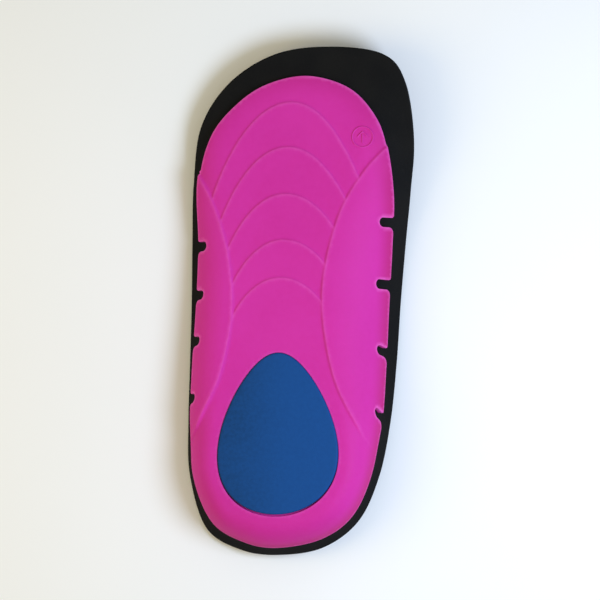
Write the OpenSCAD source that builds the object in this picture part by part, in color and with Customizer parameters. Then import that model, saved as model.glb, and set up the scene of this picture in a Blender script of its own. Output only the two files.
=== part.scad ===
// Cushioned three-quarter insole for a right foot, lying with its sole side up.
// +Y runs from heel to toe, +X points to the inner (arch) side and +Z leaves the sole.

/* [Plan] */
// Length of the insole along the sole
insole_length = 200; // [180:1:220]
// Width of the insole across the ball of the foot
ball_width = 88; // [80:1:96]

/* [Cup and arch] */
// Depth of the cushion's rim below the sole at the back of the heel
heel_cup_depth = 18; // [16:0.5:20]
// Depth of the cushion's rim below the sole at the top of the arch
arch_depth = 22.5; // [20:0.5:25]
// Tilt about X at which the insole lies at rest
rest_tilt = -2.8; // [-5:0.1:0]
// Roll about Y at which the insole lies at rest
rest_roll = -6.5; // [-9:0.1:0]

/* [Layers] */
// Thickness of the shell below the back of the heel
shell_heel_thickness = 4.6; // [4:0.1:5.5]
// Thickness of the shell at its front edge
shell_toe_thickness = 1.2; // [1:0.1:1.5]
// Thickness of the shell along its side rims
shell_rim_thickness = 1.4; // [1.2:0.1:1.8]
// Thickness of the foam cushion
cushion_thickness = 2.6; // [2:0.1:3]
// Thickness of the fabric cover
cover_thickness = 0.8; // [0.6:0.1:1]

/* [Heel pad] */
// Length of the egg-shaped heel pad
pad_length = 64; // [58:1:66]
// Width of the heel pad at its widest
pad_width = 48; // [42:1:48]
// Depth of the pocket that holds the pad
pocket_depth = 1.8; // [1.2:0.1:2]
// How far the pad stands proud of the sole
pad_proud = 0.7; // [0.6:0.1:1]

/* [Flex notches] */
// Width of each notch
notch_width = 3.8; // [3:0.1:4.5]
// Length of each notch, in from the rim
notch_length = 4.6; // [3:0.1:6]

/* [Hidden] */

// Each rim goes from the back of the heel up the inner side, round the toe and
// back down the outer side, as [across, along, depth] for the sizes below.
design_length = 200;
design_width = 88;
design_cup = 18;
design_arch = 22.5;
cup_end = 70;
shell_rim = [
    [-6, 4.5, 11], [11, 8.5, 11], [23, 17.5, 11], [30, 33.5, 12],
    [33.5, 54, 13], [35.5, 77.5, 15], [37, 101, 15.5], [38.5, 124, 13],
    [39, 143, 7.5], [37, 162.5, 3], [32, 174.5, 1], [22, 185, 0.6],
    [6, 189.5, 0.6], [-9.5, 187.5, 0.6], [-22, 179.5, 0.8], [-32, 167, 1.5],
    [-37.5, 145.5, 4], [-38.5, 123.5, 7], [-39, 100.5, 8], [-40, 77, 8],
    [-40.5, 54, 9], [-39, 33.5, 10], [-31, 15, 11], [-19, 7, 11]
];
cushion_rim = [
    [-6.5, 2, 18], [11, 5, 18], [25, 15.5, 18], [33, 33, 19],
    [36.5, 54.5, 20], [38.5, 78, 22], [40, 101, 22.5], [42, 124.5, 20],
    [45, 145, 13], [47, 164.5, 6.5], [45, 187.5, 3.5], [35.5, 199.3, 2.6],
    [13.5, 202, 2.4], [-7.5, 199, 2.4], [-26, 187.5, 2.8], [-37.5, 170, 4.5],
    [-40.5, 147, 8], [-41.5, 124, 12], [-42, 100.5, 13], [-42.5, 77.5, 13.5],
    [-43, 54.5, 15], [-42, 33.5, 17], [-35, 13, 18], [-21.5, 4.5, 18]
];
// How far in from the shell's rim the side wall starts to turn down
wall_run = [
    10.5, 10, 10, 10, 15, 22, 26, 26, 20, 11, 7, 6,
    6, 6, 6, 7, 10, 12, 12, 12, 10.5, 9, 9, 10
];
rim_stations = len(shell_rim);

// Notches as [place along the rim in stations, slant towards the toe, share of the length]
notches = [
    [7.45, 0, 1], [6.31, 0, 1], [5.21, 25, 1], [4.15, 40, 1],
    [17.04, 0, 0.8], [17.87, 0, 0.8], [18.64, 10, 0.8], [19.6, 20, 0.8]
];
notch_overrun = 4;

pad_centre = [-5, 49];
pad_narrowing = 0.3;
pad_points = 60;

points_per_station = 4;
wall_rings = 8;
flange_rings = 2;
rim_points = rim_stations * points_per_station;
// Angle of the elliptical arc that the wall follows
wall_arc = 60;
tool_clearance = 30;

// Closed curve through a list of points; place counts in stations from the first
function curve_at(list, place) =
    let (count = len(list),
        i = floor(place),
        f = place - i,
        a = list[(i + count - 1) % count],
        b = list[i % count],
        c = list[(i + 1) % count],
        d = list[(i + 2) % count])
    0.5 * (2 * b + (c - a) * f + (2 * a - 5 * b + 4 * c - d) * f * f
        + (3 * b - a - 3 * c + d) * f * f * f);

// The same curve's direction of travel
function curve_direction(list, place) =
    let (step = 0.02, d = curve_at(list, place + step + len(list)) - curve_at(list, place - step + len(list)))
    [d.x, d.y] / norm([d.x, d.y]);

// A rim point at the chosen sizes; depth follows the arch on the inner side only
function sized(p) =
    let (cup = heel_cup_depth / design_cup,
        arch = arch_depth / design_arch,
        blend = p.x > 0 ? min(1, max(0, p.y / cup_end - 0.5)) : 0)
    [p.x * ball_width / design_width, p.y * insole_length / design_length,
        p.z * (cup + (arch - cup) * blend)];

function shell_edge(place) = sized(curve_at(shell_rim, place));
function cushion_edge(place) = sized(curve_at(cushion_rim, place));

// Unit vector that points in from the rim towards the middle of the sole
function inward(place) =
    let (d = curve_direction([for (p = shell_rim) sized(p)], place)) [-d.y, d.x];

function shell_thickness(y) =
    shell_heel_thickness + (shell_toe_thickness - shell_heel_thickness) * y / insole_length;

// A point on the shell's outer face, with the angle at which the face slopes there;
// along is 0 where the wall starts and 1 at the rim
function wall_point(place, along) =
    let (edge = shell_edge(place),
        run = curve_at(wall_run, place),
        angle = along * wall_arc,
        out = sin(angle) / sin(wall_arc),
        down = (1 - cos(angle)) / (1 - cos(wall_arc)),
        slope = atan2(edge.z * sin(angle) / (1 - cos(wall_arc)),
            run * cos(angle) / sin(wall_arc)),
        start = [edge.x, edge.y] + run * inward(place))
    [start.x - out * run * inward(place).x, start.y - out * run * inward(place).y,
        -down * edge.z, slope];

// A point at a depth below the outer face, square to it
function below(point, direction, depth) =
    [point.x + direction.x * sin(point[3]) * depth,
        point.y + direction.y * sin(point[3]) * depth,
        point.z - cos(point[3]) * depth, point[3]];

// The face between shell and cushion, from where the wall starts to the shell's rim
function joint_point(place, along) =
    let (p = wall_point(place, along),
        start = wall_point(place, 0),
        depth = shell_thickness(start.y) * (1 - along)
            + min(shell_rim_thickness, shell_thickness(start.y)) * along)
    below(p, inward(place), depth);

// The cushion's flange past the shell's rim
function flange_point(place, along) =
    let (from = joint_point(place, 1),
        to = cushion_edge(place),
        end = [to.x, to.y, -to.z],
        run = norm([end.x - from.x, end.y - from.y]),
        slope = atan2(from.z - end.z, run))
    [from.x + (end.x - from.x) * along, from.y + (end.y - from.y) * along,
        from.z + (end.z - from.z) * along,
        along == 0 ? (from[3] + slope) / 2 : slope];

function place_of(i) = i / points_per_station;

// Outer face of the cushion: the joint with the shell, then the flange
function cushion_face(ring, place) =
    ring < wall_rings ? joint_point(place, ring / wall_rings)
        : flange_point(place, (ring - wall_rings) / flange_rings);

function rings_of_shell() =
    [for (ring = [0:wall_rings]) [for (i = [0:rim_points - 1])
        wall_point(place_of(i), ring / wall_rings)]];
function rings_of_joint() =
    [for (ring = [0:wall_rings]) [for (i = [0:rim_points - 1])
        joint_point(place_of(i), ring / wall_rings)]];
function rings_of_cushion(depth) =
    [for (ring = [0:wall_rings + flange_rings]) [for (i = [0:rim_points - 1])
        below(cushion_face(ring, place_of(i)), inward(place_of(i)), depth)]];

// A closed solid between an upper and a lower set of rings of the same count
module layer(upper, lower) {
    rings = len(upper);
    last = rim_points;
    points = [for (set = [upper, lower]) for (ring = set) for (p = ring) [p.x, p.y, p.z]];
    side = rings * last;
    polyhedron(
        points = points,
        faces = concat(
            [for (k = [0:last / 2 - 1], half = [0, 1])
                let (a = k, b = k + 1, c = last - 1 - k, d = (last - k) % last)
                if (half == 0 ? b != c : a != d) half == 0 ? [c, b, a] : [d, c, a]],
            [for (k = [0:last / 2 - 1], half = [0, 1])
                let (a = k, b = k + 1, c = last - 1 - k, d = (last - k) % last)
                if (half == 0 ? b != c : a != d)
                    half == 0 ? [side + a, side + b, side + c] : [side + a, side + c, side + d]],
            [for (r = [0:rings - 2], i = [0:last - 1], half = [0, 1])
                let (a = r * last + i, b = r * last + (i + 1) % last)
                half == 0 ? [a, b, b + last] : [a, b + last, a + last]],
            [for (r = [0:rings - 2], i = [0:last - 1], half = [0, 1])
                let (a = side + r * last + i, b = side + r * last + (i + 1) % last)
                half == 0 ? [b, a, b + last] : [a, a + last, b + last]],
            [for (i = [0:last - 1], half = [0, 1])
                let (a = (rings - 1) * last + i, b = (rings - 1) * last + (i + 1) % last)
                half == 0 ? [a, b, b + side] : [a, b + side, a + side]]
        ),
        convexity = 6
    );
}

// Turns the insole to the pose in which it lies and puts its origin below its middle
function turned(p) =
    let (y = p.y * cos(rest_tilt) - p.z * sin(rest_tilt),
        z = p.y * sin(rest_tilt) + p.z * cos(rest_tilt))
    [p.x * cos(rest_roll) + z * sin(rest_roll), y, z * cos(rest_roll) - p.x * sin(rest_roll)];
rest_outline = [for (depth = [0, cushion_thickness, cushion_thickness + cover_thickness],
    ring = rings_of_cushion(depth), p = ring) turned(p)];
rest_middle = [
    (min([for (p = rest_outline) p.x]) + max([for (p = rest_outline) p.x])) / 2,
    (min([for (p = rest_outline) p.y]) + max([for (p = rest_outline) p.y])) / 2,
    min([for (p = rest_outline) p.z])
];

module at_rest() {
    translate(-rest_middle) rotate([rest_tilt, rest_roll, 0]) children();
}

// Egg-shaped plan of the heel pad, narrow end towards the toe
module pad_plan() {
    widest = max([for (i = [0:pad_points - 1])
        let (t = 360 * i / pad_points) sin(t) * (1 + pad_narrowing * cos(t))]);
    translate(pad_centre)
        polygon([for (i = [0:pad_points - 1])
            let (t = 360 * i / pad_points)
            [pad_width / 2 * sin(t) * (1 + pad_narrowing * cos(t)) / widest,
                -pad_length / 2 * cos(t)]]);
}

module heel_pad() {
    color("#1f4f94") at_rest()
        translate([0, 0, -pocket_depth])
            linear_extrude(pocket_depth + pad_proud) pad_plan();
}

// Straight slot with a round inner end that cuts through the shell's rim
module notch(place, slant, share) {
    edge = shell_edge(place);
    in = inward(place);
    reach = notch_length * share - notch_width / 2;
    translate([edge.x, edge.y, -tool_clearance])
        rotate(atan2(in.y, in.x) + slant)
            linear_extrude(2 * tool_clearance) {
                translate([reach, 0]) circle(d = notch_width, $fn = 32);
                translate([-notch_overrun, -notch_width / 2]) square([reach + notch_overrun, notch_width]);
            }
}

module base_shell() {
    color("#d03a9c") at_rest() difference() {
        layer(rings_of_shell(), rings_of_joint());
        translate([0, 0, -pocket_depth]) linear_extrude(tool_clearance) pad_plan();
        for (n = notches) notch(n[0], n[0] < rim_stations / 2 ? -n[1] : n[1], n[2]);
    }
}

module cushion_layer() {
    color("#1b1a18") at_rest()
        layer(rings_of_cushion(0), rings_of_cushion(cushion_thickness));
}

module top_cover() {
    color("#141414") at_rest()
        layer(rings_of_cushion(cushion_thickness), rings_of_cushion(cushion_thickness + cover_thickness));
}

heel_pad();
base_shell();
cushion_layer();
top_cover();
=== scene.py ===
"""A cushioned three-quarter insole for a right foot, lying with its sole side up.

The insole's own frame is in millimetres: the flat of the sole is z = 0, +Y runs from heel to toe,
+X points to the inner side and +Z leaves the sole. Every mesh is made there, then turned to the
pose in which the insole lies, in metres.
"""

import bpy
import numpy as np
from mathutils import Euler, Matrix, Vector
from mathutils.bvhtree import BVHTree
from mathutils.geometry import delaunay_2d_cdt


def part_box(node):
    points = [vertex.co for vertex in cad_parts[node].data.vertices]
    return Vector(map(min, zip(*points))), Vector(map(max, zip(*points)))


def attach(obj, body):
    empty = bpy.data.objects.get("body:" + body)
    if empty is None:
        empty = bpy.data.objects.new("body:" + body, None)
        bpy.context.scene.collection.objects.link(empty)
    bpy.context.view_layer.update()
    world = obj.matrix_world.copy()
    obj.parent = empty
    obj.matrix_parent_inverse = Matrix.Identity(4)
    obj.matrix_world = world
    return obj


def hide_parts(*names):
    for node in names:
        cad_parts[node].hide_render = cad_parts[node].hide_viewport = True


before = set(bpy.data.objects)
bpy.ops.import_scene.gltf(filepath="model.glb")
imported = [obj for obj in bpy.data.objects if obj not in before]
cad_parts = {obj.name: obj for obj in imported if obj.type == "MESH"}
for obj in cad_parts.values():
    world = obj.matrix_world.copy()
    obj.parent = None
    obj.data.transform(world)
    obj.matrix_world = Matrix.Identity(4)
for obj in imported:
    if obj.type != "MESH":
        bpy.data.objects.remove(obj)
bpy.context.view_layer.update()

MM = 0.001

# How the insole leans as it lies, in degrees: heel to toe and side to side
REST_TILT, REST_ROLL = -2.8, -6.5
REST_TURN = np.array(Euler((np.radians(REST_TILT), np.radians(REST_ROLL), 0)).to_matrix())

# Rims from the back of the heel up the inner side, round the toe and back: across, along, depth
SHELL_RIM = [
    (-6, 5, 11), (11, 8.5, 11), (23.2, 17.5, 11), (30.5, 33.5, 12),
    (34, 54, 13), (35.4, 77.5, 15), (36.4, 101, 15.5), (37.8, 124, 13),
    (38.8, 143, 7.5), (36.5, 162.5, 3), (31.8, 174.3, 1), (21.8, 184.5, 0.6),
    (6, 189.2, 0.6), (-9.5, 186.3, 0.6), (-21.6, 178.8, 0.8), (-32.2, 166.2, 1.5),
    (-37.3, 148, 4), (-37, 123.5, 7), (-37.8, 100.5, 8), (-39.2, 77, 8),
    (-40.1, 54, 9), (-39.8, 33.5, 10), (-32.3, 15, 11), (-19.2, 7, 11),
]
CUSHION_RIM = [
    (-6.5, 2, 18), (11, 5, 18), (25, 15.5, 18), (33, 33, 19),
    (37.3, 54.5, 20), (39.5, 78, 21.7), (40.9, 101, 22.1), (43, 124.5, 19.8),
    (45.4, 145, 13), (46.9, 164.5, 6.5), (43.4, 187, 3.5), (34.7, 197.8, 2.6),
    (13.5, 200.7, 2.4), (-7.5, 197.8, 2.4), (-25.3, 186.8, 2.8), (-36.8, 169.6, 4.5),
    (-40.2, 147, 8), (-41, 124, 11.4), (-41.3, 100.5, 12.5), (-41.9, 77.5, 13.5),
    (-42.6, 54.5, 15), (-42.1, 33.5, 17), (-35.6, 12.6, 18), (-21.8, 4, 18),
]
# How far in from each point of the shell's rim the side wall starts to turn down
WALL_RUN = [
    10.5, 10, 10, 10, 15, 22, 26, 26, 20, 11, 7, 6,
    6, 6, 6, 7, 10, 12, 12, 12, 10.5, 9, 9, 10,
]
STATIONS = len(SHELL_RIM)
# The wall is an arc that turns down by this much
WALL_ARC = np.radians(60)

INSOLE_LENGTH = 200
# Thickness of the shell at the heel end, at the toe end and at its rim, and of the other layers
SHELL_HEEL, SHELL_TOE, SHELL_SIDE = 4.6, 1.2, 1.4
CUSHION, COVER = 2.6, 0.8

# The pad's outline: centre, width and length, and how far its heel end leans to the outer side
PAD_IN_CAD = ((-5.0, 49.0), (48, 64), 0.0)
PAD_AS_MOULDED = ((-5.05, 49.2), (47.3, 63.6), 1.2)
PAD_NARROWING = 0.3
PAD_CAD_POINTS, PAD_POINTS = 60, 240
POCKET_DEPTH, PAD_PROUD = 1.8, 0.7
PAD_ROUND, PAD_CROWN = 0.8, 0.3
# Room on each side of the pocket's edge, and how far short of the pocket the pad is at its heel end
POCKET_CLEAR, PAD_CLEAR, PAD_SHORT = 0.05, 0.05, 0.65

# Flex notches: place along the rim in points of SHELL_RIM, slant towards the toe, depth from the rim
NOTCHES = [
    (7.42, -0.05, 7.0), (6.3, 0.0, 8.0), (5.16, 0.25, 6.4), (4.08, 0.5, 5.9),
    (17.04, 0.05, 5.4), (17.87, 0.1, 5.2), (18.64, 0.15, 4.6), (19.6, 0.2, 4.0),
]
# Their width, and the rounding of their lips on the toe's side and the heel's side
NOTCH_WIDTH, TOE_LIP, HEEL_LIP = 3.7, 1.0, 2.4
# Distance between the rim's points, along the rim and down the sides of a notch
RIM_SPACING, NOTCH_SPACING = 0.7, 0.4

# Raised contour lines, on the plan of the sole: the edges of the two side wings...
INNER_WING = [(38.5, 164), (26.8, 150.5), (17, 132), (11.5, 103.5), (15.8, 73), (26, 51), (33, 40)]
OUTER_WING = [(-38, 153), (-30.5, 139), (-24.8, 120), (-23, 97), (-27.4, 73), (-34.5, 57), (-40.2, 46)]
# ...and the arched steps between them: outer end, crown and inner end
ARCHES = [
    ((-30.7, 144.2), (-0.4, 178.9), (26.2, 149.1)),
    ((-28.3, 132.5), (-1.8, 161.4), (21.2, 140.7)),
    ((-25.4, 121.5), (-2.6, 143.1), (16.1, 130.5)),
    ((-23, 109), (-3.2, 125.2), (12.4, 116.6)),
    ((-22.5, 97), (-4.4, 110.4), (10.6, 102.5)),
]
# Turn of each arch's ellipse from crown to outer end and from crown to inner end, and how much
# further it runs on under the wings
ARCH_TURNS, ARCH_OVERRUN = np.radians((45, 30)), 1.15
# Height of each wing's edge, the width over which it rises, and where on the way to the toe it starts
INNER_STEP, OUTER_STEP, WING_STEP = 0.7, 1.0, 1.15
WING_FADE = (40.0, 58.0)
# Width and height of an arched step, and how far behind it the shell is back at its own level
ARCH_STEP, ARCH_HEIGHT, ARCH_FADE = 0.95, 0.42, 9.0
# A fine bead along the top of every step: its place in widths of the step from the step's middle,
# its size, and how much of the painted highlight colour it shows
BEAD_PLACE, BEAD_HEIGHT, BEAD_WIDTH, BEAD_HIGHLIGHT_SHARE = 0.55, 0.07, 0.5, 0.3

# Size mark: a raised ring with an arrow that points to the toe. Its strokes have sloping sides
MARK_CENTRE = np.array((27.4, 165.0))
MARK_RADIUS, MARK_LINE, MARK_HEIGHT, MARK_SLOPE = 4.0, 0.8, 0.45, 2.6
MARK_STROKES = [((0, -2.1), (0, 2.1)), ((-1.5, 0.6), (0, 2.1)), ((1.5, 0.6), (0, 2.1))]
# How much of the painted highlight colour the size mark shows
MARK_HIGHLIGHT_SHARE = 0.7

# Rounded edges of the shell: radii at the rim and at the pocket, and where across them points lie
RIM_ROUND, POCKET_ROUND = 0.55, 0.3
ROUND_ROWS = np.array((0.06, 0.2, 0.42, 0.7, 1.0))

# Points on a quarter round, a wing's edge, half an arch, the ring and a stroke of the mark
QUARTER_POINTS, WING_POINTS, ARCH_POINTS, RING_POINTS, STROKE_POINTS = 8, 140, 61, 64, 12
# Distance between the free points of the shell's mesh, and from them to the lines that it follows,
# on the sole's side and under it
SOLE_SPACING, SOLE_CLEAR = 1.05, 0.5
UNDER_SPACING, UNDER_CLEAR = 4.0, 1.2
# Where across a step or stroke the mesh follows a line, and how far from the rim such lines stay.
# The rows of the rounded rim stay this share of their own inset from it
ACROSS_STEP = np.array((-0.5, -0.25, 0, 0.25, 0.5))
LINE_CLEAR, ROW_CLEAR = 0.25, 0.9
SAME_POINT = 1e-4
SHARP_ANGLE = np.radians(40)

# How much of the turn between shell and flange the flange takes up along its length
FLANGE_BEND = 0.3
LAYER_COLUMNS = 720
# Rounding of the two soft layers' rims on the sole's side and on the foot's side, and where
# across it rows of points lie
CUSHION_ROUNDS, COVER_ROUNDS = (0.8, 0.3), (0.15, 0.3)
EDGE_ROWS = np.array((1.0, 0.78, 0.56, 0.36, 0.2, 0.09, 0.02, 0.0))

# Painted highlight, pale along the rounded rim, the pocket's lip and the crests: the name of a
# share kept on the shell's mesh, how far in it goes from the rim and from the pocket, and the most
# at the pocket
PAINTED_HIGHLIGHT_SHARE, RIM_HIGHLIGHT_REACH, POCKET_HIGHLIGHT_REACH, POCKET_HIGHLIGHT_MOST = "painted_highlight_share", 1.1, 0.6875, 0.35
# Painted shade, deeper in colour where the walls turn down from the light and in the heel cup: the
# name of a share kept on its mesh, how far in it goes from the rim, the least along the rim, how much
# less it is at the toe, and the most in the heel cup
PAINTED_SHADE_SHARE, SHADE_REACH_FROM_RIM, SHADE_LEAST, SHADE_LESS_AT_TOE, SHADE_IN_HEEL_CUP = "painted_shade_share", 9.5, 0.15, 0.6, 0.5
# Where it changes: from the outer to the inner side, at the heel, at the toe, and along the outer
# side of the heel
SHADE_ACROSS, SHADE_AT_HEEL, SHADE_AT_TOE, SHADE_OUTSIDE = (-30, 10), (0, 26), (140, 170), (0, 60)
# Where across the insole the pad's painted shade goes from its deepest to none
PAD_PAINTED_SHADE_ACROSS = (-38, -2)
# The cover's map when laid flat, and the size of its knitted loops
FLAT_MAP = "flat_pattern_mm"
WALE, COURSE = 0.9, 0.75

# Colours: the usual one of each material, its deeper and its lighter one (the pad's deeper one is a
# painted shade), and for the shell also its painted highlight on edges and crests and its painted
# shade on the turned-down walls
SHELL_COLOUR = (0.67, 0.027, 0.345)
SHELL_DEEP = (0.645, 0.023, 0.322)
SHELL_LIGHT = (0.72, 0.045, 0.41)
SHELL_PAINTED_HIGHLIGHT = (0.9, 0.15, 0.58)
SHELL_PAINTED_SHADE = (0.53, 0.015, 0.185)
PAD_COLOUR = (0.004, 0.064, 0.24)
PAD_PAINTED_SHADE = (0.001, 0.034, 0.105)
PAD_LIGHT = (0.011, 0.087, 0.305)
FOAM_COLOUR = (0.0055, 0.0052, 0.0045)
FOAM_DEEP = (0.003, 0.003, 0.003)
FOAM_LIGHT = (0.014, 0.0135, 0.012)
COVER_COLOUR = (0.012, 0.012, 0.013)
COVER_DEEP = (0.002, 0.002, 0.002)
COVER_LIGHT = (0.03, 0.03, 0.03)
FLOOR_COLOUR = (0.955, 0.945, 0.895)
FLOOR_LIGHT = (0.97, 0.96, 0.91)


# ---------------------------------------------------------------- curves and surfaces

def curve_at(points, place):
    """Closed smooth curve through points; place counts in points from the first."""
    points = np.asarray(points, float)
    if points.ndim == 1:
        points = points[:, None]
    i = np.floor(place).astype(int)
    f = (place - i)[:, None]
    a, b, c, d = (points[(i + k) % len(points)] for k in (-1, 0, 1, 2))
    square = 2 * a - 5 * b + 4 * c - d
    cube = 3 * b - a - 3 * c + d
    return 0.5 * (2 * b + (c - a) * f + square * f**2 + cube * f**3)


def open_curve(points, steps):
    """Smooth curve through points, from the first to the last."""
    points = np.asarray(points, float)
    padded = np.vstack([2 * points[0] - points[1], points, 2 * points[-1] - points[-2]])
    place = np.linspace(1, len(points), steps)
    place[-1] -= 1e-6
    return curve_at(padded, place)


def inward(place):
    """Unit vectors from the shell's rim towards the middle of the sole."""
    step = 0.02
    d = (curve_at(SHELL_RIM, place + step) - curve_at(SHELL_RIM, place - step))[:, :2]
    d /= np.linalg.norm(d, axis=1, keepdims=True)
    return np.column_stack([-d[:, 1], d[:, 0]])


def shell_thickness(y):
    return SHELL_HEEL + (SHELL_TOE - SHELL_HEEL) * y / INSOLE_LENGTH


def wall_rings(place, along):
    """The shell's outer face for each place and along (0 where the wall starts, 1 at the rim):
    points, outward normals, depth of the shell and length of face from the wall's start. Also, for
    each place, where the wall starts and the direction inward."""
    edge = curve_at(SHELL_RIM, place)
    run = curve_at(WALL_RUN, place)
    into = inward(place)
    angle = along[None, :] * WALL_ARC
    out = np.sin(angle) / np.sin(WALL_ARC)
    down = (1 - np.cos(angle)) / (1 - np.cos(WALL_ARC))
    rise = edge[:, 2:] * np.sin(angle) / (1 - np.cos(WALL_ARC))
    reach = run * np.cos(angle) / np.sin(WALL_ARC)
    slope = np.arctan2(rise, reach)
    start = edge[:, :2] + run * into
    points = np.empty((len(place), len(along), 3))
    points[:, :, :2] = start[:, None] - (out * run)[:, :, None] * into[:, None]
    points[:, :, 2] = -down * edge[:, 2:]
    normals = np.dstack([-into[:, :1] * np.sin(slope), -into[:, 1:] * np.sin(slope), np.cos(slope)])
    core = shell_thickness(start[:, 1:])
    depth = core * (1 - along) + np.minimum(SHELL_SIDE, core) * along
    speed = np.hypot(rise, reach)
    step = np.diff(along) * WALL_ARC
    length = np.zeros_like(slope)
    length[:, 1:] = np.cumsum((speed[:, 1:] + speed[:, :-1]) / 2 * step, axis=1)
    return points, normals, depth, length, start, into


class Sole:
    """The shell's outer face as a table, so that a point can be looked up by its place on the plan
    or on the flat pattern, which is the face with its walls unrolled."""

    def __init__(self, columns=1200, rows=40, past_rim=1.08):
        place = np.arange(columns) * STATIONS / columns
        along = np.linspace(0, past_rim, rows)
        points, normals, depth, length, start, into = wall_rings(place, along)
        pattern = start[:, None] - length[:, :, None] * into[:, None]
        self.values = np.dstack([points, normals, depth, pattern]).reshape(-1, 9)
        a = np.arange(columns)[:, None] * rows + np.arange(rows - 1)
        b = (np.arange(columns)[:, None] + 1) % columns * rows + np.arange(rows - 1)
        self.triangles = np.vstack([
            np.dstack([a, b, b + 1]).reshape(-1, 3), np.dstack([a, b + 1, a + 1]).reshape(-1, 3),
        ])
        self.plan_tree = self.tree(self.values[:, :2])
        self.pattern_tree = self.tree(self.values[:, 7:9])
        _, _, _, length, start, into = wall_rings(place, np.linspace(0, 1, 51))
        self.rim_pattern = start - length[:, -1:] * into
        self.rim_inward = into

    def tree(self, flat):
        flat = np.column_stack([flat, np.zeros(len(flat))])
        return BVHTree.FromPolygons(flat.tolist(), self.triangles.tolist())

    def look_up(self, tree, columns, flat):
        """Values at flat points. Points within the flat of the sole are their own answer."""
        down = Vector((0, 0, -1))
        hits = [tree.ray_cast(Vector((x, y, 1)), down)[2] for x, y in flat]
        found = np.array([h is not None for h in hits])
        values = np.zeros((len(flat), 9))
        values[:, :2] = flat
        values[:, 5] = 1
        values[:, 6] = shell_thickness(flat[:, 1])
        values[:, 7:9] = flat
        tri = self.triangles[[h for h in hits if h is not None]]
        corner = self.values[:, columns][tri]
        side_1, side_2 = corner[:, 1] - corner[:, 0], corner[:, 2] - corner[:, 0]
        to = flat[found] - corner[:, 0]
        area = side_1[:, 0] * side_2[:, 1] - side_1[:, 1] * side_2[:, 0]
        u = (to[:, 0] * side_2[:, 1] - to[:, 1] * side_2[:, 0]) / area
        v = (side_1[:, 0] * to[:, 1] - side_1[:, 1] * to[:, 0]) / area
        share = np.stack([1 - u - v, u, v], axis=1)
        values[found] = (share[:, :, None] * self.values[tri]).sum(axis=1)
        return values

    def from_plan(self, plan):
        """Flat-pattern points of plan points."""
        return self.look_up(self.plan_tree, slice(0, 2), np.asarray(plan, float))[:, 7:9]

    def from_pattern(self, flat):
        """Points, outward normals and shell depths at flat-pattern points."""
        values = self.look_up(self.pattern_tree, slice(7, 9), np.asarray(flat, float))
        normals = values[:, 3:6] / np.linalg.norm(values[:, 3:6], axis=1, keepdims=True)
        return values[:, :3], normals, values[:, 6:7]


def egg(points, grow=0.0, outline=PAD_AS_MOULDED):
    """Plan outline of the heel pad, narrow end towards the toe, anticlockwise from the heel end.
    It may grow by a distance all round."""
    centre, (width, length), lean = outline
    t = np.arange(points) * 2 * np.pi / points
    widest = np.max(np.sin(t) * (1 + PAD_NARROWING * np.cos(t)))
    x = (width / 2 + grow) * np.sin(t) * (1 + PAD_NARROWING * np.cos(t)) / widest
    x -= lean * np.maximum(np.cos(t), 0) ** 2
    y = -(length / 2 + grow) * np.cos(t)
    return np.column_stack([x, y]) + centre


def smooth_step(t):
    t = np.clip(t, 0, 1)
    return t * t * (3 - 2 * t)


def fade_in(value, start, stop):
    """0 up to start, 1 from stop, and a soft rise between them."""
    return smooth_step((value - start) / (stop - start))


def distance_to(points, line, closed=False):
    """Distance from each point to a polyline."""
    ends = np.roll(line, -1, axis=0) if closed else line[1:]
    starts = line if closed else line[:-1]
    best = np.full(len(points), np.inf)
    for a, b in zip(starts, ends):
        ab = b - a
        t = np.clip((points - a) @ ab / max(ab @ ab, 1e-12), 0, 1)
        best = np.minimum(best, np.linalg.norm(points - a - t[:, None] * ab, axis=1))
    return best


def inside(points, loop):
    """Whether each point is inside a closed polyline."""
    result = np.zeros(len(points), bool)
    x, y = points[:, 0], points[:, 1]
    for (ax, ay), (bx, by) in zip(loop, np.roll(loop, -1, axis=0)):
        if ay == by:
            continue
        crosses = ((ay > y) != (by > y)) & (x < (bx - ax) * (y - ay) / (by - ay) + ax)
        result ^= crosses
    return result


def line_normals(line, closed):
    """Unit normals on the left of a line, which is inside a loop that goes anticlockwise."""
    if closed:
        d = np.roll(line, -1, axis=0) - np.roll(line, 1, axis=0)
    else:
        d = np.gradient(line, axis=0)
    d /= np.linalg.norm(d, axis=1, keepdims=True)
    return np.column_stack([-d[:, 1], d[:, 0]])


def fillet_drop(distance, radius):
    """How far a rounded edge falls below its face, by distance in from the edge."""
    q = radius - np.clip(distance, 0, radius)
    return radius - np.sqrt(np.maximum(radius**2 - q**2, 0))


# ---------------------------------------------------------------- meshes

def at_rest(points):
    """Turns points in the insole's own frame to the pose in which it lies, in metres."""
    return (points @ REST_TURN.T + REST_SHIFT) * MM


def find_rest_shift():
    """The shift that puts the heel pad where the frame has it."""
    plan = egg(PAD_CAD_POINTS, outline=PAD_IN_CAD)
    solid = np.vstack([
        np.column_stack([plan, np.full(len(plan), z)]) for z in (-POCKET_DEPTH, PAD_PROUD)
    ])
    return np.array(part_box("heel_pad")[0]) / MM - (solid @ REST_TURN.T).min(axis=0)


def make_piece(name, points, faces):
    """An object of its own, smooth but for its sharp edges, from points in the insole's frame."""
    mesh = bpy.data.meshes.new(name)
    mesh.from_pydata(at_rest(points).tolist(), [], faces)
    mesh.validate()
    mesh.shade_smooth()
    mesh.set_sharp_from_angle(angle=SHARP_ANGLE)
    piece = bpy.data.objects.new(name, mesh)
    bpy.context.scene.collection.objects.link(piece)
    return piece


def loft(rings):
    """Points and faces of a closed solid through rings of the same count, from its underside up."""
    count = len(rings[0])
    points = np.vstack(rings)
    faces = [tuple(range(count - 1, -1, -1))]
    for r in range(len(rings) - 1):
        for i in range(count):
            a = r * count + i
            b = r * count + (i + 1) % count
            faces.append((a, b, b + count, a + count))
    last = (len(rings) - 1) * count
    faces.append(tuple(range(last, last + count)))
    return points, faces


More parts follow.
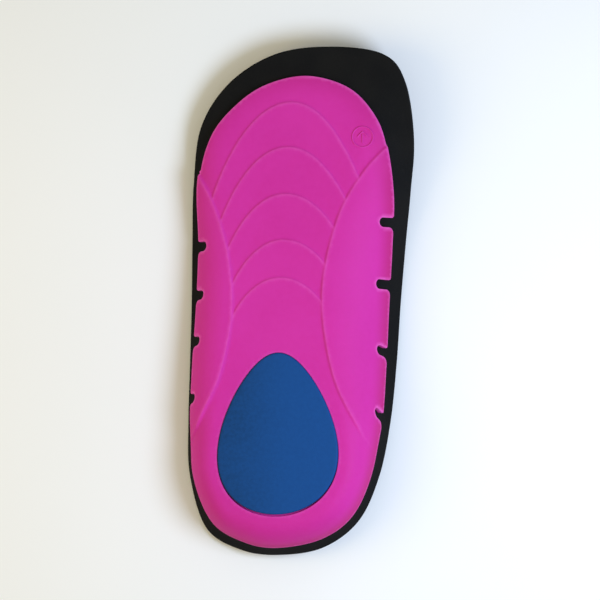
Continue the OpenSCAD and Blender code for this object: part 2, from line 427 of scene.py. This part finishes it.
def notch_side(half, lip, depth):
    """A notch's side as [along the rim, in from the rim], with a rounded lip at the rim."""
    lip = min(lip, depth - half - NOTCH_SPACING)
    turn = np.linspace(0, np.pi / 2, QUARTER_POINTS)
    mouth = np.column_stack([-half - lip + lip * np.sin(turn), lip - lip * np.cos(turn)])
    straight = np.arange(lip + NOTCH_SPACING, depth - half - NOTCH_SPACING / 2, NOTCH_SPACING)
    return np.vstack([mouth, np.column_stack([np.full(len(straight), -half), straight])])


def notch_outline(slant, depth, towards_toe):
    """A notch's outline as [along the rim, in from the rim], from lip to lip. towards_toe is 1 where
    the rim runs towards the toe and -1 where it runs back."""
    half = NOTCH_WIDTH / 2
    lips = (HEEL_LIP, TOE_LIP)[::towards_toe]
    turn = np.linspace(0, np.pi, 2 * QUARTER_POINTS + 3)
    end = np.column_stack([-half * np.cos(turn), depth - half + half * np.sin(turn)])
    outline = np.vstack([
        notch_side(half, lips[0], depth),
        end,
        notch_side(half, lips[1], depth)[::-1] * (-1, 1),
    ])
    outline[:, 0] += outline[:, 1] * slant * towards_toe
    return outline


def notched_rim(sole):
    """The shell's rim on the flat pattern, with the flex notches cut into it."""
    columns = len(sole.rim_pattern)
    lengths = np.linalg.norm(np.roll(sole.rim_pattern, -1, axis=0) - sole.rim_pattern, axis=1)
    travelled = np.concatenate([[0], np.cumsum(lengths)])
    total = travelled[-1]

    def at(travel, depth):
        """Points by distance along the rim and depth in from it."""
        place = np.interp(np.mod(travel, total), travelled, np.arange(columns + 1))
        i = np.floor(place).astype(int) % columns
        f = (place - np.floor(place))[:, None]
        j = (i + 1) % columns
        edge = sole.rim_pattern[i] * (1 - f) + sole.rim_pattern[j] * f
        into = sole.rim_inward[i] * (1 - f) + sole.rim_inward[j] * f
        return edge + into * depth[:, None]

    cuts = []
    for place, slant, depth in sorted(NOTCHES):
        centre = np.interp(place * columns / STATIONS, np.arange(columns + 1), travelled)
        towards_toe = 1 if place < STATIONS / 2 else -1
        cuts.append((centre, notch_outline(slant, depth, towards_toe)))
    loop = []
    start = cuts[-1][0] + cuts[-1][1][-1, 0] - total
    for centre, outline in cuts:
        stop = centre + outline[0, 0]
        steps = max(2, int((stop - start) / RIM_SPACING))
        travel = np.linspace(start, stop, steps + 1)[1:-1]
        loop.append(at(travel, np.zeros(len(travel))))
        loop.append(at(centre + outline[:, 0], outline[:, 1]))
        start = centre + outline[-1, 0]
    return np.vstack(loop)


def arch_line(outer, crown, inner):
    """An arched contour line: two parts of ellipses that meet at the crown."""
    sides = []
    for end, whole in zip((outer, inner), ARCH_TURNS):
        turn = np.linspace(whole * ARCH_OVERRUN, 0, ARCH_POINTS)
        x = crown[0] + (end[0] - crown[0]) * np.sin(turn) / np.sin(whole)
        y = crown[1] + (end[1] - crown[1]) * (1 - np.cos(turn)) / (1 - np.cos(whole))
        sides.append(np.column_stack([x, y]))
    return np.vstack([sides[0], sides[1][::-1][1:]])


def bead_share(behind, width):
    """1 along the top of a step of this width and 0 away from it, by distance behind its middle."""
    return np.exp(-((behind - width * BEAD_PLACE) / BEAD_WIDTH) ** 2)


class Relief:
    """The shell's raised detail above its smooth face, on the flat pattern."""

    def __init__(self, sole):
        self.wings = [
            (side, height, sole.from_plan(open_curve(points, WING_POINTS)))
            for side, height, points in ((1, INNER_STEP, INNER_WING), (-1, OUTER_STEP, OUTER_WING))
        ]
        self.arches = [arch_line(*ends) for ends in ARCHES]
        self.mark_centre = sole.from_plan([MARK_CENTRE])[0]
        self.strokes = [self.mark_centre + np.array(s, float) for s in MARK_STROKES]

    def mark_share(self, points):
        """1 on the ring and the arrow of the size mark and 0 away from them."""
        radius = np.linalg.norm(points - self.mark_centre, axis=1)
        line = np.abs(radius - MARK_RADIUS)
        for stroke in self.strokes:
            line = np.minimum(line, distance_to(points, stroke))
        return smooth_step(MARK_SLOPE * (0.5 - line / MARK_LINE))

    def shape(self, points):
        """Heights above the smooth face, and shares of painted highlight on the beads and the mark, at
        flat-pattern points.
        """
        fade = fade_in(points[:, 1], *WING_FADE)
        height = np.zeros(len(points))
        bead = np.zeros(len(points))
        between = np.ones(len(points))
        for side, step, line in self.wings:
            order = np.argsort(line[:, 1])
            across = np.interp(points[:, 1], line[order, 1], line[order, 0])
            away = np.sign((points[:, 0] - across) * side) * distance_to(points, line)
            share = smooth_step(away / WING_STEP + 0.5)
            between *= 1 - share
            height += step * share * fade
            bead += bead_share(away, WING_STEP) * fade
        for line in self.arches:
            order = np.argsort(line[:, 0])
            along = np.interp(points[:, 0], line[order, 0], line[order, 1])
            behind = np.sign(along - points[:, 1]) * distance_to(points, line)
            climb = smooth_step(behind / ARCH_STEP + 0.5)
            height += ARCH_HEIGHT * climb * (1 - fade_in(behind, 0, ARCH_FADE)) * between
            bead += bead_share(behind, ARCH_STEP) * between
        bead = np.clip(bead, 0, 1)
        mark = self.mark_share(points)
        height = height + BEAD_HEIGHT * bead + MARK_HEIGHT * mark
        return height, np.maximum(bead, MARK_HIGHLIGHT_SHARE * mark)

    def guide_lines(self):
        """Lines that the mesh follows, so that every step and stroke has crisp sides: points, whether
        closed, and how far from the rim they stay."""
        lines = []
        steps = [(line, WING_STEP) for _, _, line in self.wings]
        steps += [(line, ARCH_STEP) for line in self.arches]
        for line, width in steps:
            normals = line_normals(line, False)
            for offset in ACROSS_STEP * width:
                lines.append((line + normals * offset, False, LINE_CLEAR))
        turn = np.arange(RING_POINTS) * 2 * np.pi / RING_POINTS
        circle = np.column_stack([np.cos(turn), np.sin(turn)])
        for offset in ACROSS_STEP * MARK_LINE:
            lines.append((self.mark_centre + circle * (MARK_RADIUS + offset), True, LINE_CLEAR))
        for a, b in self.strokes:
            line = a + (b - a) * np.linspace(0, 1, STROKE_POINTS)[:, None]
            normals = line_normals(line, False)
            for offset in ACROSS_STEP * MARK_LINE:
                lines.append((line + normals * offset, False, LINE_CLEAR))
        return lines


def clear_parts(line, closed, rim, clear):
    """The parts of a line that are inside the rim and clear of it, each with whether it is closed."""
    keep = inside(line, rim) & (distance_to(line, rim, True) > clear)
    if keep.all():
        return [(line, closed)]
    if closed:
        line, keep = np.vstack([line, line[:1]]), np.append(keep, keep[0])
    runs = np.split(np.arange(len(line)), np.flatnonzero(np.diff(keep)) + 1)
    return [(line[run], False) for run in runs if keep[run[0]] and len(run) > 1]


def joined(lines):
    """The points of all lines together, and the edges between them as pairs of indexes."""
    edges = []
    first = 0
    for line, closed in lines:
        count = len(line)
        last = count if closed else count - 1
        edges.extend((first + i, first + (i + 1) % count) for i in range(last))
        first += count
    return np.vstack([line for line, _ in lines]), edges


def scatter_over(rim, hole, spacing):
    """Evenly staggered points inside the rim and outside the hole, where there is one."""
    low, high = rim.min(axis=0), rim.max(axis=0)
    rows = []
    for k, y in enumerate(np.arange(low[1], high[1], spacing * np.sqrt(3) / 2)):
        x = np.arange(low[0] + (k % 2) * spacing / 2, high[0], spacing)
        rows.append(np.column_stack([x, np.full(len(x), y)]))
    points = np.vstack(rows)
    keep = inside(points, rim)
    if hole is not None:
        keep &= ~inside(points, hole)
    return points[keep]


def clear_of(fixed, points, distance):
    """Those of the points that are further than a distance from every fixed point."""
    cells = {}
    for i, (x, y) in enumerate(fixed):
        cells.setdefault((int(x // distance), int(y // distance)), []).append(i)
    around = [(a, b) for a in (-1, 0, 1) for b in (-1, 0, 1)]
    clear = []
    for x, y in points:
        column, row = int(x // distance), int(y // distance)
        near = [i for a, b in around for i in cells.get((column + a, row + b), ())]
        if not near or np.min(np.hypot(*(fixed[near] - (x, y)).T)) > distance:
            clear.append((x, y))
    return clear


def triangulate(loops, lines, spacing, clear, hole=None):
    """Triangles over a region of the flat pattern. The first loop is its rim, the loops and lines
    are followed, the lines only where they are clear of the rim, and an even scatter of points
    fills the rest. Returns points, triangles and the new index of each point of the loops."""
    rim = loops[0]
    followed = [(loop, True) for loop in loops]
    for line, closed, from_rim in lines:
        followed += clear_parts(line, closed, rim, from_rim)
    fixed, edges = joined(followed)
    free = clear_of(fixed, scatter_over(rim, hole, spacing), clear)
    corners = [Vector(p) for p in (*fixed, *free)]
    found, _, faces, sources, _, _ = delaunay_2d_cdt(corners, edges, [], 0, SAME_POINT)
    found = np.array([tuple(p) for p in found])
    faces = np.array([tuple(f) for f in faces])
    centres = found[faces].mean(axis=1)
    keep = inside(centres, rim)
    if hole is not None:
        keep &= ~inside(centres, hole)
    index = {source: i for i, group in enumerate(sources) for source in group}
    return found, faces[keep], index


def turned_up(flat, faces):
    """Triangles of a flat region, each turned to go anticlockwise."""
    a, b, c = (flat[faces[:, k]] for k in range(3))
    turn = (b - a)[:, 0] * (c - a)[:, 1] - (b - a)[:, 1] * (c - a)[:, 0]
    return np.where((turn < 0)[:, None], faces[:, ::-1], faces)


def painted_shade_share(flat, from_rim):
    """How much painted shade shows: most along the rim by the arch and in the heel cup."""
    across, along = flat.T
    inner_side = fade_in(across, *SHADE_ACROSS)
    heel = 1 - fade_in(along, *SHADE_AT_HEEL)
    toe = fade_in(along, *SHADE_AT_TOE)
    by_rim = np.maximum(SHADE_LEAST + (1 - SHADE_LEAST) * inner_side, heel) * (1 - SHADE_LESS_AT_TOE * toe)
    by_rim *= 1 - fade_in(from_rim, 0, SHADE_REACH_FROM_RIM)
    outer_heel = (1 - inner_side) * (1 - fade_in(along, *SHADE_OUTSIDE))
    return np.maximum(by_rim, SHADE_IN_HEEL_CUP * np.maximum(heel, outer_heel))


def keep_share(piece, name, share):
    """Keeps a share on a piece's mesh, by point. Points past the last one given have none."""
    values = np.zeros(len(piece.data.vertices), np.float32)
    values[:len(share)] = share
    piece.data.attributes.new(name, "FLOAT", "POINT").data.foreach_set("value", values)


def band(upper, lower):
    """Faces between two rings of indexes, facing out where the rings go anticlockwise."""
    count = len(upper)
    return [(upper[i], lower[i], lower[(i + 1) % count], upper[(i + 1) % count]) for i in range(count)]


def shell_face(sole, relief, rim, pocket):
    """The shell's face on the sole's side: points, triangles, the index of each point of the rim and
    the pocket, and the shares of painted highlight and of painted shade."""
    loops = [rim, pocket]
    loops += [pocket - line_normals(pocket, True) * row * POCKET_ROUND for row in ROUND_ROWS]
    lines = relief.guide_lines()
    for inset in ROUND_ROWS * RIM_ROUND:
        lines.append((rim + line_normals(rim, True) * inset, True, ROW_CLEAR * inset))
    flat, triangles, index = triangulate(loops, lines, SOLE_SPACING, SOLE_CLEAR, pocket)
    points, normals, _ = sole.from_pattern(flat)
    from_rim, from_pocket = (distance_to(flat, loop, True) for loop in (rim, pocket))
    height, bead = relief.shape(flat)
    height -= fillet_drop(from_rim, RIM_ROUND) + fillet_drop(from_pocket, POCKET_ROUND)
    # Painted highlight: paler along the rounded rim, the pocket's lip and the crests of the beads and
    # mark
    highlight_at_rim = 1 - fade_in(from_rim, 0, RIM_HIGHLIGHT_REACH)
    highlight_at_pocket = POCKET_HIGHLIGHT_MOST * (1 - fade_in(from_pocket, 0, POCKET_HIGHLIGHT_REACH))
    painted_highlight = np.maximum.reduce([highlight_at_rim, highlight_at_pocket, BEAD_HIGHLIGHT_SHARE * bead])
    # Painted shade on the turned-down walls and in the heel cup
    # The rim without its notches counts here, and every eighth of its points is enough
    painted_shade = painted_shade_share(flat, distance_to(flat, sole.rim_pattern[::8], True))
    return points + normals * height[:, None], turned_up(flat, triangles), index, painted_highlight, painted_shade


def shell_back(sole, rim):
    """The shell's face against the cushion: points, triangles and the index of each rim point."""
    flat, triangles, index = triangulate([rim], [], UNDER_SPACING, UNDER_CLEAR)
    points, normals, depth = sole.from_pattern(flat)
    return points - normals * depth, turned_up(flat, triangles)[:, ::-1], index


def make_base_shell(sole, relief):
    """The moulded shell: relief, rounded edges, flex notches and the pocket for the heel pad."""
    rim = notched_rim(sole)
    pocket = egg(PAD_POINTS, POCKET_CLEAR)
    face, face_triangles, face_index, painted_highlight, painted_shade = shell_face(sole, relief, rim, pocket)
    back, back_triangles, back_index = shell_back(sole, rim)
    floor = np.column_stack([pocket, np.full(len(pocket), -POCKET_DEPTH)])
    points = np.vstack([face, back, floor])

    rim_top = [face_index[i] for i in range(len(rim))]
    rim_under = [len(face) + back_index[i] for i in range(len(rim))]
    pocket_top = [face_index[len(rim) + i] for i in range(len(pocket))]
    pocket_floor = range(len(points) - len(floor), len(points))
    faces = [*face_triangles, *(back_triangles + len(face))]
    faces += band(rim_top, rim_under)
    faces += [side[::-1] for side in band(pocket_top, pocket_floor)]
    faces.append(pocket_floor)
    faces = [tuple(int(i) for i in corners) for corners in faces]

    shell = make_piece("moulded_base_shell", points, faces)
    # Shares of the painted highlight and of the painted shade, read by the shell's material
    keep_share(shell, PAINTED_HIGHLIGHT_SHARE, painted_highlight)
    keep_share(shell, PAINTED_SHADE_SHARE, painted_shade)
    return shell


# ---------------------------------------------------------------- the soft layers

def cubic(t, start, start_way, end, end_way):
    """Cubic curve from start to end that sets out and arrives along the given ways: its points and
    its direction."""
    points = ((2 * t**3 - 3 * t**2 + 1) * start + (t**3 - 2 * t**2 + t) * start_way
              + (3 * t**2 - 2 * t**3) * end + (t**3 - t**2) * end_way)
    direction = ((6 * t**2 - 6 * t) * start + (3 * t**2 - 4 * t + 1) * start_way
                 + (6 * t - 6 * t**2) * end + (3 * t**2 - 2 * t) * end_way)
    return points, direction


def layer_profile(edge, under_rows=14, flange_rows=12):
    """The cushion's sole-side face as rings of points and outward normals, from where the wall
    starts, under the shell and out along the flange to the rim. The last rows lie within edge of
    the rim, for rounding. Also each point's distance in from the rim and place when laid flat."""
    place = np.arange(LAYER_COLUMNS) * STATIONS / LAYER_COLUMNS
    points, normals, depth, wall, start, into = wall_rings(place, np.linspace(0, 1, under_rows))
    under = points - normals * depth[:, :, None]
    joint = under[:, -1]
    joint_slope = np.arccos(np.clip(normals[:, -1, 2], -1, 1))
    rim = curve_at(CUSHION_RIM, place) * (1, 1, -1)
    chord = rim - joint
    run = np.linalg.norm(chord[:, :2], axis=1)
    length = np.linalg.norm(chord, axis=1)
    outward = chord[:, :2] / run[:, None]
    slope = np.arctan2(-chord[:, 2], run)
    bend = FLANGE_BEND * (joint_slope - slope)

    def tangent(angle):
        return np.column_stack([outward * np.cos(angle)[:, None], -np.sin(angle)]) * length[:, None]

    inner = np.linspace(0, 1, flange_rows)[1:-1, None] * (1 - edge / length)
    t = np.vstack([inner, 1 - EDGE_ROWS[:, None] * edge / length])[:, :, None]
    curve, way = cubic(t, joint, tangent(slope + bend), rim, tangent(slope - bend))
    angle = np.arctan2(-way[:, :, 2], np.linalg.norm(way[:, :, :2], axis=2))
    flange_normals = np.dstack([outward * np.sin(angle)[:, :, None], np.cos(angle)])
    rings = np.concatenate([under.transpose(1, 0, 2), curve])
    ring_normals = np.concatenate([normals.transpose(1, 0, 2), flange_normals])
    far = np.full((under_rows, LAYER_COLUMNS), np.inf)
    from_rim = np.concatenate([far, (1 - t[:, :, 0]) * length])
    spread = np.concatenate([wall.T, wall[:, -1] + t[:, :, 0] * length])
    flat = start - spread[:, :, None] * into
    return rings, ring_normals, from_rim, flat


def layer_solid(profile, top, bottom, top_round, bottom_round):
    """A layer of the sandwich between two depths below the cushion's sole-side face."""
    rings, normals, from_rim, _ = profile
    upper = rings - normals * (top + fillet_drop(from_rim, top_round))[:, :, None]
    lower = rings - normals * (bottom - fillet_drop(from_rim, bottom_round))[:, :, None]
    return loft(list(lower) + list(upper[::-1]))


def make_cushion(profile):
    return make_piece("foam_cushion", *layer_solid(profile, 0, CUSHION, *CUSHION_ROUNDS))


def make_cover(profile):
    """The cover, with its place when laid flat as a map for its knit."""
    solid = layer_solid(profile, CUSHION, CUSHION + COVER, *COVER_ROUNDS)
    cover = make_piece("fabric_cover", *solid)
    flat = profile[3]
    flat = np.concatenate([flat, flat[::-1]]).reshape(-1, 2)
    corners = np.empty(len(cover.data.loops), int)
    cover.data.loops.foreach_get("vertex_index", corners)
    layer = cover.data.uv_layers.new(name=FLAT_MAP)
    layer.data.foreach_set("uv", flat[corners].astype(np.float32).ravel())
    return cover


def make_heel_pad():
    """The pad: nearly flat, with rounded edges, and just clear of its pocket."""
    outline = egg(PAD_POINTS, -PAD_CLEAR)
    front, back = outline[:, 1].max(), outline[:, 1].min()
    outline[:, 1] = front - (front - outline[:, 1]) * (1 - PAD_SHORT / (front - back))
    normals = line_normals(outline, True)
    middle = outline.mean(axis=0)

    def ring(flat, z):
        return np.column_stack([flat, np.full(PAD_POINTS, z)])

    rings = [ring(outline, -POCKET_DEPTH)]
    for turn in np.linspace(0, np.pi / 2, QUARTER_POINTS):
        inset = PAD_ROUND * (1 - np.cos(turn))
        rings.append(ring(outline + normals * inset, PAD_PROUD - PAD_ROUND * (1 - np.sin(turn))))
    shoulder = rings[-1][:, :2]
    for share in np.linspace(1, 0.03, 24)[1:]:
        crown = PAD_CROWN * (1 - share**2) ** 1.5
        rings.append(ring(middle + (shoulder - middle) * share, PAD_PROUD + crown))
    return make_piece("heel_pad_foam", *loft(rings))


# ---------------------------------------------------------------- materials

class Material:
    """Builds one material's nodes around its Principled shader. Lengths are in millimetres."""

    def __init__(self, name):
        self.material = bpy.data.materials.new(name)
        self.material.use_nodes = True
        self.tree = self.material.node_tree
        self.shader = self.tree.nodes["Principled BSDF"]
        place = self.node("ShaderNodeTexCoord").outputs["Object"]
        scaled = self.node("ShaderNodeVectorMath", operation="SCALE")
        self.link(place, scaled.inputs[0])
        scaled.inputs["Scale"].default_value = 1 / MM
        self.place = scaled.outputs[0]

    def node(self, kind, **settings):
        made = self.tree.nodes.new(kind)
        for name, value in settings.items():
            setattr(made, name, value)
        return made

    def link(self, out, into):
        self.tree.links.new(out, into)

    def put(self, socket, value):
        """Links an output to a socket, or sets a constant on it."""
        if hasattr(value, "links"):
            self.link(value, socket)
        else:
            socket.default_value = value

    def set(self, **values):
        """Sets or links inputs of the shader, with _ for each space in their names."""
        for name, value in values.items():
            self.put(self.shader.inputs[name.replace("_", " ")], value)

    def noise(self, size, detail=3.0, roughness=0.5, stretch=(1, 1, 1), distortion=0.0):
        """Noise of about 0.5, whose lumps are about size across."""
        made = self.node("ShaderNodeTexNoise")
        place = self.node("ShaderNodeVectorMath", operation="MULTIPLY")
        self.link(self.place, place.inputs[0])
        place.inputs[1].default_value = [1 / (size * s) for s in stretch]
        self.link(place.outputs[0], made.inputs["Vector"])
        made.inputs["Scale"].default_value = 1.0
        made.inputs["Detail"].default_value = detail
        made.inputs["Roughness"].default_value = roughness
        made.inputs["Distortion"].default_value = distortion
        return made.outputs["Fac"]

    def cells(self, size, feature="F1"):
        made = self.node("ShaderNodeTexVoronoi", feature=feature)
        self.link(self.place, made.inputs["Vector"])
        made.inputs["Scale"].default_value = 1 / size
        return made.outputs["Distance"]

    def math(self, operation, a, b=0.0, clamp=False):
        made = self.node("ShaderNodeMath", operation=operation, use_clamp=clamp)
        self.put(made.inputs[0], a)
        self.put(made.inputs[1], b)
        return made.outputs[0]

    def ramp(self, value, low, high, start=0.3, stop=0.7):
        """Maps start..stop of a value to low..high, softly."""
        made = self.node("ShaderNodeMapRange", interpolation_type="SMOOTHSTEP")
        self.put(made.inputs["Value"], value)
        ends = {"From Min": start, "From Max": stop, "To Min": low, "To Max": high}
        for name, number in ends.items():
            made.inputs[name].default_value = number
        return made.outputs["Result"]

    def mix(self, share, a, b, blend="MIX"):
        made = self.node("ShaderNodeMix", data_type="RGBA", blend_type=blend)
        self.put(made.inputs["Factor"], share)
        for socket, value in ((made.inputs[6], a), (made.inputs[7], b)):
            self.put(socket, value if hasattr(value, "links") else (*value, 1))
        return made.outputs[2]

    def bump(self, height, strength, distance, normal=None):
        """Distance is in millimetres."""
        made = self.node("ShaderNodeBump")
        self.put(made.inputs["Height"], height)
        made.inputs["Strength"].default_value = strength
        made.inputs["Distance"].default_value = distance * MM
        if normal is not None:
            self.link(normal, made.inputs["Normal"])
        return made.outputs["Normal"]


def shell_material():
    """Satin moulded rubber: magenta with a very fine grain and a few faint rubs, with painted shade
    where the walls turn down and in the heel cup, and a painted highlight along edges and crests."""
    m = Material("moulded_magenta_rubber")
    broad = m.noise(34, detail=2)
    mottle = m.noise(2.2, detail=4, roughness=0.6)
    grain = m.noise(0.28, detail=2, roughness=0.6)
    rubs = m.noise(1.6, detail=5, roughness=0.7, stretch=(5, 1, 2), distortion=0.4)
    colour = m.mix(m.ramp(broad, 0, 1), SHELL_COLOUR, SHELL_DEEP)
    colour = m.mix(m.ramp(mottle, 0, 0.18), colour, SHELL_LIGHT)
    colour = m.mix(m.ramp(rubs, 0, 0.3, 0.62, 0.8), colour, SHELL_LIGHT)
    # Painted shade on the turned-down walls and in the heel cup
    painted_shade = m.node("ShaderNodeAttribute", attribute_name=PAINTED_SHADE_SHARE).outputs["Fac"]
    colour = m.mix(painted_shade, colour, SHELL_PAINTED_SHADE)
    # Painted highlight along the rim, the pocket's lip and the crests, broken up by the mottle
    painted_highlight = m.node("ShaderNodeAttribute", attribute_name=PAINTED_HIGHLIGHT_SHARE).outputs["Fac"]
    colour = m.mix(m.math("MULTIPLY", painted_highlight, m.ramp(mottle, 0.5, 0.9)), colour, SHELL_PAINTED_HIGHLIGHT)
    m.set(Base_Color=colour)
    m.set(Roughness=m.math("ADD", m.ramp(mottle, 0.6, 0.7), m.ramp(rubs, 0, 0.12, 0.55, 0.8)))
    m.set(Specular_IOR_Level=0.2, Subsurface_Weight=0.12, Subsurface_Scale=0.0015)
    m.set(Subsurface_Radius=(1.0, 0.25, 0.6))
    coarse = m.bump(m.noise(6, detail=2), 0.25, 0.12)
    m.set(Normal=m.bump(grain, 0.35, 0.05, coarse))
    return m.material


def pad_material():
    """Matte foam rubber: dark blue with a fine skin, and painted shade deeper towards the outer side.
    """
    m = Material("blue_foam_rubber")
    broad = m.noise(18, detail=2)
    mottle = m.noise(1.3, detail=4, roughness=0.65)
    skin = m.cells(0.42)
    grain = m.noise(0.22, detail=2)
    split = m.node("ShaderNodeSeparateXYZ")
    m.link(m.place, split.inputs[0])
    # Painted shade: deeper towards the outer side, broken up by broad noise
    side = m.ramp(split.outputs["X"], 1, 0, *PAD_PAINTED_SHADE_ACROSS)
    colour = m.mix(m.math("MULTIPLY", side, m.ramp(broad, 0.6, 1)), PAD_COLOUR, PAD_PAINTED_SHADE)
    colour = m.mix(m.ramp(mottle, 0, 0.3), colour, PAD_LIGHT)
    m.set(Base_Color=colour, Roughness=m.ramp(mottle, 0.6, 0.72), Specular_IOR_Level=0.16)
    m.set(Normal=m.bump(grain, 0.3, 0.04, m.bump(skin, 0.3, 0.06)))
    return m.material


def foam_material():
    """Black closed-cell foam: cut cells, a little dust and scuffed spots."""
    m = Material("black_foam")
    broad = m.noise(14, detail=3)
    cells = m.cells(0.55, "SMOOTH_F1")
    pores = m.noise(0.35, detail=4, roughness=0.7)
    dust = m.noise(3.2, detail=6, roughness=0.75)
    colour = m.mix(m.ramp(broad, 0, 1), FOAM_COLOUR, FOAM_DEEP)
    colour = m.mix(m.ramp(pores, 0, 0.5, 0.5, 0.75), colour, FOAM_LIGHT)
    colour = m.mix(m.ramp(dust, 0, 0.4, 0.58, 0.8), colour, FOAM_LIGHT)
    m.set(Base_Color=colour, Roughness=m.ramp(pores, 0.72, 0.92), Specular_IOR_Level=0.17)
    m.set(Normal=m.bump(pores, 0.5, 0.1, m.bump(cells, 0.5, 0.12)))
    return m.material


def cover_material():
    """Black jersey: rows of small loops, with a soft sheen."""
    m = Material("black_jersey")
    split = m.node("ShaderNodeSeparateXYZ")
    flat = m.node("ShaderNodeUVMap", uv_map=FLAT_MAP).outputs["UV"]
    m.link(flat, split.inputs[0])
    across = m.math("MULTIPLY", split.outputs["X"], 2 * np.pi / WALE)
    along = m.math("MULTIPLY", split.outputs["Y"], 2 * np.pi / COURSE)
    wale = m.math("ABSOLUTE", m.math("SINE", m.math("MULTIPLY", across, 0.5)))
    lean = m.math("MULTIPLY", m.math("COSINE", across), 1.4)
    course = m.math("SINE", m.math("ADD", along, lean))
    loops = m.math("MULTIPLY", wale, m.math("ADD", m.math("MULTIPLY", course, 0.5), 0.5))
    fuzz = m.noise(0.5, detail=5, roughness=0.8)
    colour = m.mix(m.ramp(loops, 0, 1, -0.4, 0.5), COVER_DEEP, COVER_COLOUR)
    colour = m.mix(m.ramp(fuzz, 0, 0.3, 0.55, 0.8), colour, COVER_LIGHT)
    m.set(Base_Color=colour, Roughness=m.ramp(fuzz, 0.8, 0.95), Specular_IOR_Level=0.25)
    m.set(Sheen_Weight=0.35, Sheen_Roughness=0.45)
    m.set(Normal=m.bump(fuzz, 0.3, 0.08, m.bump(loops, 0.8, 0.18)))
    return m.material


def floor_material():
    m = Material("pale_floor")
    colour = m.mix(m.ramp(m.noise(120, detail=3), 0, 1), FLOOR_COLOUR, FLOOR_LIGHT)
    m.set(Base_Color=colour, Roughness=m.ramp(m.noise(4), 0.75, 0.85), Specular_IOR_Level=0.1)
    return m.material


# ---------------------------------------------------------------- stage, light and camera

def make_floor():
    half = 4.0
    corners = [(-half, -half, 0), (half, -half, 0), (half, half, 0), (-half, half, 0)]
    mesh = bpy.data.meshes.new("floor")
    mesh.from_pydata(corners, [], [(0, 1, 2, 3)])
    floor = bpy.data.objects.new("floor", mesh)
    bpy.context.scene.collection.objects.link(floor)
    mesh.materials.append(floor_material())


def make_panel(name, place, size, power, colour):
    """A round soft panel near the insole, turned to its middle."""
    data = bpy.data.lights.new(name, "AREA")
    data.shape = "DISK"
    data.size = size
    data.energy = power
    data.color = colour
    light = bpy.data.objects.new(name, data)
    light.location = place
    light.rotation_euler = Vector(place).to_track_quat("Z", "Y").to_euler()
    bpy.context.scene.collection.objects.link(light)


def make_studio():
    """Even light from all round, a cool key panel and a weaker warm one on the other side."""
    scene = bpy.context.scene
    scene.view_settings.view_transform = "Standard"
    scene.world = bpy.data.worlds.new("studio")
    scene.world.use_nodes = True
    background = scene.world.node_tree.nodes["Background"]
    background.inputs["Color"].default_value = (0.84, 0.87, 0.86, 1)
    background.inputs["Strength"].default_value = 0.5
    make_panel("key", place=(0.25, -0.07, 0.35), size=0.22, power=1.42, colour=(0.66, 0.8, 1.1))
    make_panel("fill", place=(-0.45, -0.05, 0.38), size=0.4, power=0.95, colour=(1.0, 0.75, 0.25))


def make_camera():
    """Looks straight down on the sole side, from a distance that shows so many metres across."""
    distance, seen = 1.8, 0.236
    scene = bpy.context.scene
    data = bpy.data.cameras.new("camera")
    camera = bpy.data.objects.new("camera", data)
    data.lens = data.sensor_width * distance / seen
    data.clip_start = 0.05
    camera.location = (0, 0, distance)
    scene.collection.objects.link(camera)
    scene.camera = camera


# ---------------------------------------------------------------- the insole

def main():
    sole = Sole()
    profile = layer_profile(max(CUSHION_ROUNDS + COVER_ROUNDS))
    shell = make_base_shell(sole, Relief(sole))
    pad = make_heel_pad()
    cushion = make_cushion(profile)
    cover = make_cover(profile)
    for piece, node, material in (
        (shell, "base_shell", shell_material()),
        (pad, "heel_pad", pad_material()),
        (cushion, "cushion_layer", foam_material()),
        (cover, "top_cover", cover_material()),
    ):
        piece.data.materials.append(material)
        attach(piece, "root")
        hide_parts(node)
    make_floor()
    make_studio()
    make_camera()


REST_SHIFT = find_rest_shift()
main()
